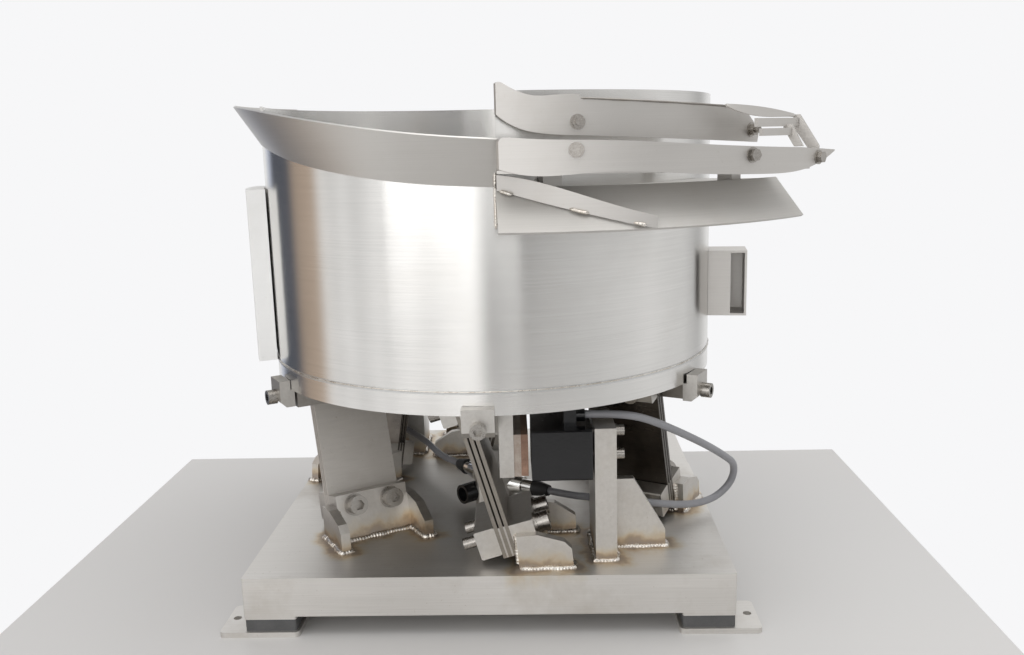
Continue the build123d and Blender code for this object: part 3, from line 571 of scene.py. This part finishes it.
def bead_mesh(paths, width, seed):
    """Rippled weld beads along the paths, as one list of vertices and faces."""
    draw = random.Random(seed)
    vertices, faces = [], []
    for path in paths:
        points = evenly([Vector(p) for p in path], RIPPLE / 4)
        first = len(vertices)
        for index, point in enumerate(points):
            before, after = points[max(index - 1, 0)], points[min(index + 1, len(points) - 1)]
            along = (after - before).normalized()
            side = along.cross(UP)
            if side.length < 0.1:
                side = along.cross(outward(30))
            side.normalize()
            lift = side.cross(along)
            pool = 0.93 + 0.07 * math.cos(index / 4 * math.tau) + draw.uniform(-0.05, 0.05)
            pool += 0.10 * math.sin(index * 0.13 + seed)
            ends = min(1.0, 0.25 + 0.3 * min(index, len(points) - 1 - index))
            radius = width / 2 * pool * ends
            point = point + side * width * 0.07 * math.sin(index * 0.21 + 2 * seed)
            for k in range(BEAD_SIDES):
                turn = math.tau * k / BEAD_SIDES
                offset = side * radius * math.cos(turn) + lift * radius * FLATNESS * math.sin(turn)
                vertices.append(point + offset)
        for ring in range(len(points) - 1):
            for k in range(BEAD_SIDES):
                a, b = first + ring * BEAD_SIDES + k, first + ring * BEAD_SIDES + (k + 1) % BEAD_SIDES
                faces.append((a, b, b + BEAD_SIDES, a + BEAD_SIDES))
        faces.append(tuple(range(first + BEAD_SIDES - 1, first - 1, -1)))
        last = first + (len(points) - 1) * BEAD_SIDES
        faces.append(tuple(range(last, last + BEAD_SIDES)))
    return vertices, faces


def bracket_beads(angle):
    """Beads round the feet of one spring bracket, and up the joints of its gussets."""
    at = lambda shift, radius, height=BASE_TOP: spoke(angle, shift, radius, height)
    out, inner = SPRING_OUT + GUSSET, SPRING_IN - GUSSET
    climb = 27 * MM
    return [
        [at(GUSSET_START, out), at(OUTER_END, out), at(OUTER_END, SPRING_OUT), at(FLANGE_FAR, SPRING_OUT)],
        [at(FLANGE_FAR, SPRING_OUT), at(FLANGE_FAR, SPRING_IN)],
        [
            at(FLANGE_FAR, SPRING_IN), at(INNER_END, SPRING_IN), at(INNER_END, inner),
            at(GUSSET_START, inner),
        ],
        [at(FLANGE_NEAR, SPRING_IN), at(FLANGE_NEAR, SPRING_OUT)],
        [at(GUSSET_START, SPRING_OUT), at(GUSSET_START - 2 * MM, SPRING_OUT, BASE_TOP + climb)],
        [at(FLANGE_FAR - 2 * MM, SPRING_OUT), at(FLANGE_FAR - 9 * MM, SPRING_OUT, BASE_TOP + climb)],
    ]


def post_beads(angle):
    """Beads round the foot of one magnet post and its gusset, and up the gusset's two sides."""
    at = lambda shift, radius, height=BASE_TOP: spoke(angle, shift, radius, height)
    middle = (POST_IN + POST_OUT) / 2
    low, high = middle - GUSSET / 2, middle + GUSSET / 2
    top = BASE_TOP + 58 * MM
    return [
        [
            at(POST_NEAR, POST_IN), at(POST_NEAR, POST_OUT), at(POST_FAR, POST_OUT), at(POST_FAR, high),
            at(POST_GUSSET_END, high), at(POST_GUSSET_END, low), at(POST_FAR, low), at(POST_FAR, POST_IN),
            at(POST_NEAR, POST_IN),
        ],
        [at(POST_FAR, high), at(POST_FAR, high, top)],
        [at(POST_FAR, low), at(POST_FAR, low, top)],
    ]


for number, angle in enumerate(SPRING_ANGLES, start=1):
    shape = bead_mesh(bracket_beads(angle), 6.8 * MM, number)
    piece_from(f"bracket_beads_{number}", *shape, bead_metal, "base", "welded_steel")
for number, angle in enumerate(MAGNET_ANGLES, start=1):
    shape = bead_mesh(post_beads(angle), 6.4 * MM, 20 + number)
    piece_from(f"post_beads_{number}", *shape, bead_metal, "base", "welded_steel")


GUIDE_START, APRON_END = 274.0, 332.0
APRON_INNER, APRON_OUTER = (202.5, 268.0), (240.0, 290.0)  # radius at the start and end of its edges
APRON_TOP, APRON_DROP = 350, 29
APRON_SKIN = 5.2        # outward from the apron's middle to where a bead lies


def apron_point(angle, share, above):
    """A point just off the return apron's outer face, from its angle and its share of the way down."""
    run = (angle - GUIDE_START) / (APRON_END - GUIDE_START)
    inner = APRON_INNER[0] + (APRON_INNER[1] - APRON_INNER[0]) * run
    outer = APRON_OUTER[0] + (APRON_OUTER[1] - APRON_OUTER[0]) * run
    radius = inner + share * (outer - inner)
    return spoke(angle, 0, (radius + APRON_SKIN) * MM, (APRON_TOP - APRON_DROP * share + above) * MM)


TACKS = [    # where each tack starts and ends, as bearing and share of the way down the apron
    ((275.2, 0.07), (277.6, 0.16)),
    ((286.6, 0.50), (289.4, 0.616)),
    ((295.6, 0.85), (297.4, 0.92)),
]
tack_paths = [[apron_point(*first, 1.5), apron_point(*last, 1.5)] for first, last in TACKS]
piece_from("deflector_tacks", *bead_mesh(tack_paths, 3.2 * MM, 31), bead_metal, "bowl", "bowl_stainless")

EDGE_ANGLE = 274.5      # the upright edge where the exit starts
EDGE_RUNS = [((205.6, 322), (205.6, 352)), ((206.0, 352), (208.0, 386))]
edge_paths = [
    [spoke(EDGE_ANGLE, 0, radius * MM, height * MM) for radius, height in run] for run in EDGE_RUNS
]
piece_from("edge_beads", *bead_mesh(edge_paths, 2.6 * MM, 32), bead_metal, "bowl", "bowl_stainless")

SEAM_STEP = 3
seam_height = FLOOR_LOW + 2 * MM
seam_radius = BOWL_RADIUS + 0.2 * MM
seam_path = [spoke(angle, 0, seam_radius, seam_height) for angle in range(0, 361, SEAM_STEP)]
piece_from("ring_seam", *bead_mesh([seam_path], 1.5 * MM, 33), bead_metal, "bowl", "bowl_stainless")


def guide_radius(angle):
    """The inner guide swings out by 40 mm over 48 degrees."""
    return (206 + 40 * (angle - GUIDE_START) / 48) * MM


# a thin folded edge along the top of the inner guide, in the dark frame steel as painted shade for the
# shaded gap line along it
HEM_START, HEM_END, HEM_HIGH, HEM_LOW = 290.5, 320.5, 412.0, 405.0
HEM_STEPS = 10
hem_path = []
for step in range(HEM_STEPS + 1):
    share = step / HEM_STEPS
    angle = HEM_START + share * (HEM_END - HEM_START)
    height = HEM_HIGH + share * (HEM_LOW - HEM_HIGH)
    hem_path.append(spoke(angle, 0, guide_radius(angle) + 2.2 * MM, height * MM))
piece_from("shaded_guide_hem", *bead_mesh([hem_path], 1.9 * MM, 34), frame_steel, "bowl", "bowl_stainless")


# ------------------------------------------------------------------------------ stage
def stage_floor():
    """A pale bench top under the feet."""
    mesh = bpy.data.meshes.new("floor")
    reach, back, front = 0.40, 0.249, -0.75
    corners = [(-reach, front, 0), (reach, front, 0), (reach, back, 0), (-reach, back, 0)]
    mesh.from_pydata(corners, [], [(0, 1, 2, 3)])
    floor = bpy.data.objects.new("floor", mesh)
    bpy.context.scene.collection.objects.link(floor)
    material, _, shader = new_material("floor_paint", Roughness=0.5)
    shader.inputs["Base Color"].default_value = (0.56, 0.55, 0.54, 1)
    mesh.materials.append(material)


def area_light(name, place, target, size, power):
    light = bpy.data.lights.new(name, "AREA")
    light.shape = "RECTANGLE"
    light.size, light.size_y = size
    light.energy = power
    lamp = bpy.data.objects.new(name, light)
    bpy.context.scene.collection.objects.link(lamp)
    lamp.location = place
    lamp.rotation_euler = (Vector(target) - Vector(place)).to_track_quat("-Z", "Y").to_euler()


# colour of the room by bearing, clockwise from above, zero straight behind the camera
WARM, COOL = (1.0, 0.80, 0.64), (0.86, 0.93, 1.12)
ROOM = [
    (-180, 0.90, None),
    (-150, 0.88, None),
    (-140, 0.60, COOL),
    (-134, 0.10, COOL),
    (-116, 0.13, COOL),
    (-108, 0.46, WARM),
    (-94, 0.56, WARM),
    (-87, 0.98, None),
    (-80, 0.84, None),
    (-73, 0.99, None),
    (-66, 0.83, None),
    (-56, 1.02, None),
    (-48, 0.84, None),
    (-38, 0.97, None),
    (-28, 0.80, None),
    (-16, 0.98, None),
    (-5, 1.06, None),
    (1, 0.24, None),
    (10, 0.40, None),
    (28, 0.60, None),
    (52, 0.72, None),
    (90, 0.86, None),
    (118, 0.78, None),
    (136, 0.52, None),
    (150, 0.80, None),
    (180, 0.90, None),
]


def soft_room():
    """Pale walls all round, with a bright window side and darker corners."""
    world = bpy.data.worlds.new("soft_room")
    bpy.context.scene.world = world
    world.use_nodes = True
    tree = world.node_tree
    background = tree.nodes["Background"]
    direction = add(tree, "ShaderNodeTexCoord").outputs["Generated"]
    axes = add(tree, "ShaderNodeSeparateXYZ", {0: direction})
    back = calculate(tree, "MULTIPLY", axes.outputs[1], -1.0)
    bearing = calculate(tree, "ARCTAN2", axes.outputs[0], back)
    share = calculate(tree, "MULTIPLY_ADD", bearing, 1 / math.tau, 0.5)
    ramp = add(tree, "ShaderNodeValToRGB", {0: share})
    elements = ramp.color_ramp.elements
    while len(elements) < len(ROOM):
        elements.new(0.5)
    for element, (degrees, level, hue) in zip(elements, ROOM):
        element.position = degrees / 360 + 0.5
        element.color = (*(level * part for part in hue or (1, 1, 1)), 1)
    sight = add(tree, "ShaderNodeLightPath").outputs["Is Camera Ray"]
    seen = blend_colours(tree, sight, ramp.outputs[0], (0.93, 0.93, 0.94, 1))
    tree.links.new(seen, background.inputs["Color"])
    background.inputs["Strength"].default_value = 1.0


stage_floor()
soft_room()
area_light("overhead", (0.3, -0.2, 2.2), (0, 0, 0.2), (2.4, 2.0), 26)
area_light("front_fill", (-1.2, -2.2, 1.3), (0, 0, 0.2), (2.6, 1.8), 7)
area_light("low_front", (-0.5, -1.9, 0.45), (0, 0, 0.1), (2.4, 0.7), 6)

# ----------------------------------------------------------------------------- camera
PITCH, YAW, ROLL = math.radians(11.04), math.radians(-2.10), math.radians(-1.57)
sight_line = Vector((math.sin(YAW) * math.cos(PITCH), math.cos(YAW) * math.cos(PITCH), -math.sin(PITCH)))
level_right = Vector((math.cos(YAW), -math.sin(YAW), 0))
level_up = level_right.cross(sight_line)
right = level_right * math.cos(ROLL) + level_up * math.sin(ROLL)
above = -level_right * math.sin(ROLL) + level_up * math.cos(ROLL)
lens = bpy.data.cameras.new("camera")
lens.lens = 33.64
lens.sensor_width = 36
camera = bpy.data.objects.new("camera", lens)
bpy.context.scene.collection.objects.link(camera)
turned = Matrix((right, above, -sight_line)).transposed().to_4x4()
camera.matrix_world = Matrix.Translation((0.05077, -0.89247, 0.38405)) @ turned
bpy.context.scene.camera = camera
bpy.context.scene.view_settings.view_transform = "Standard"
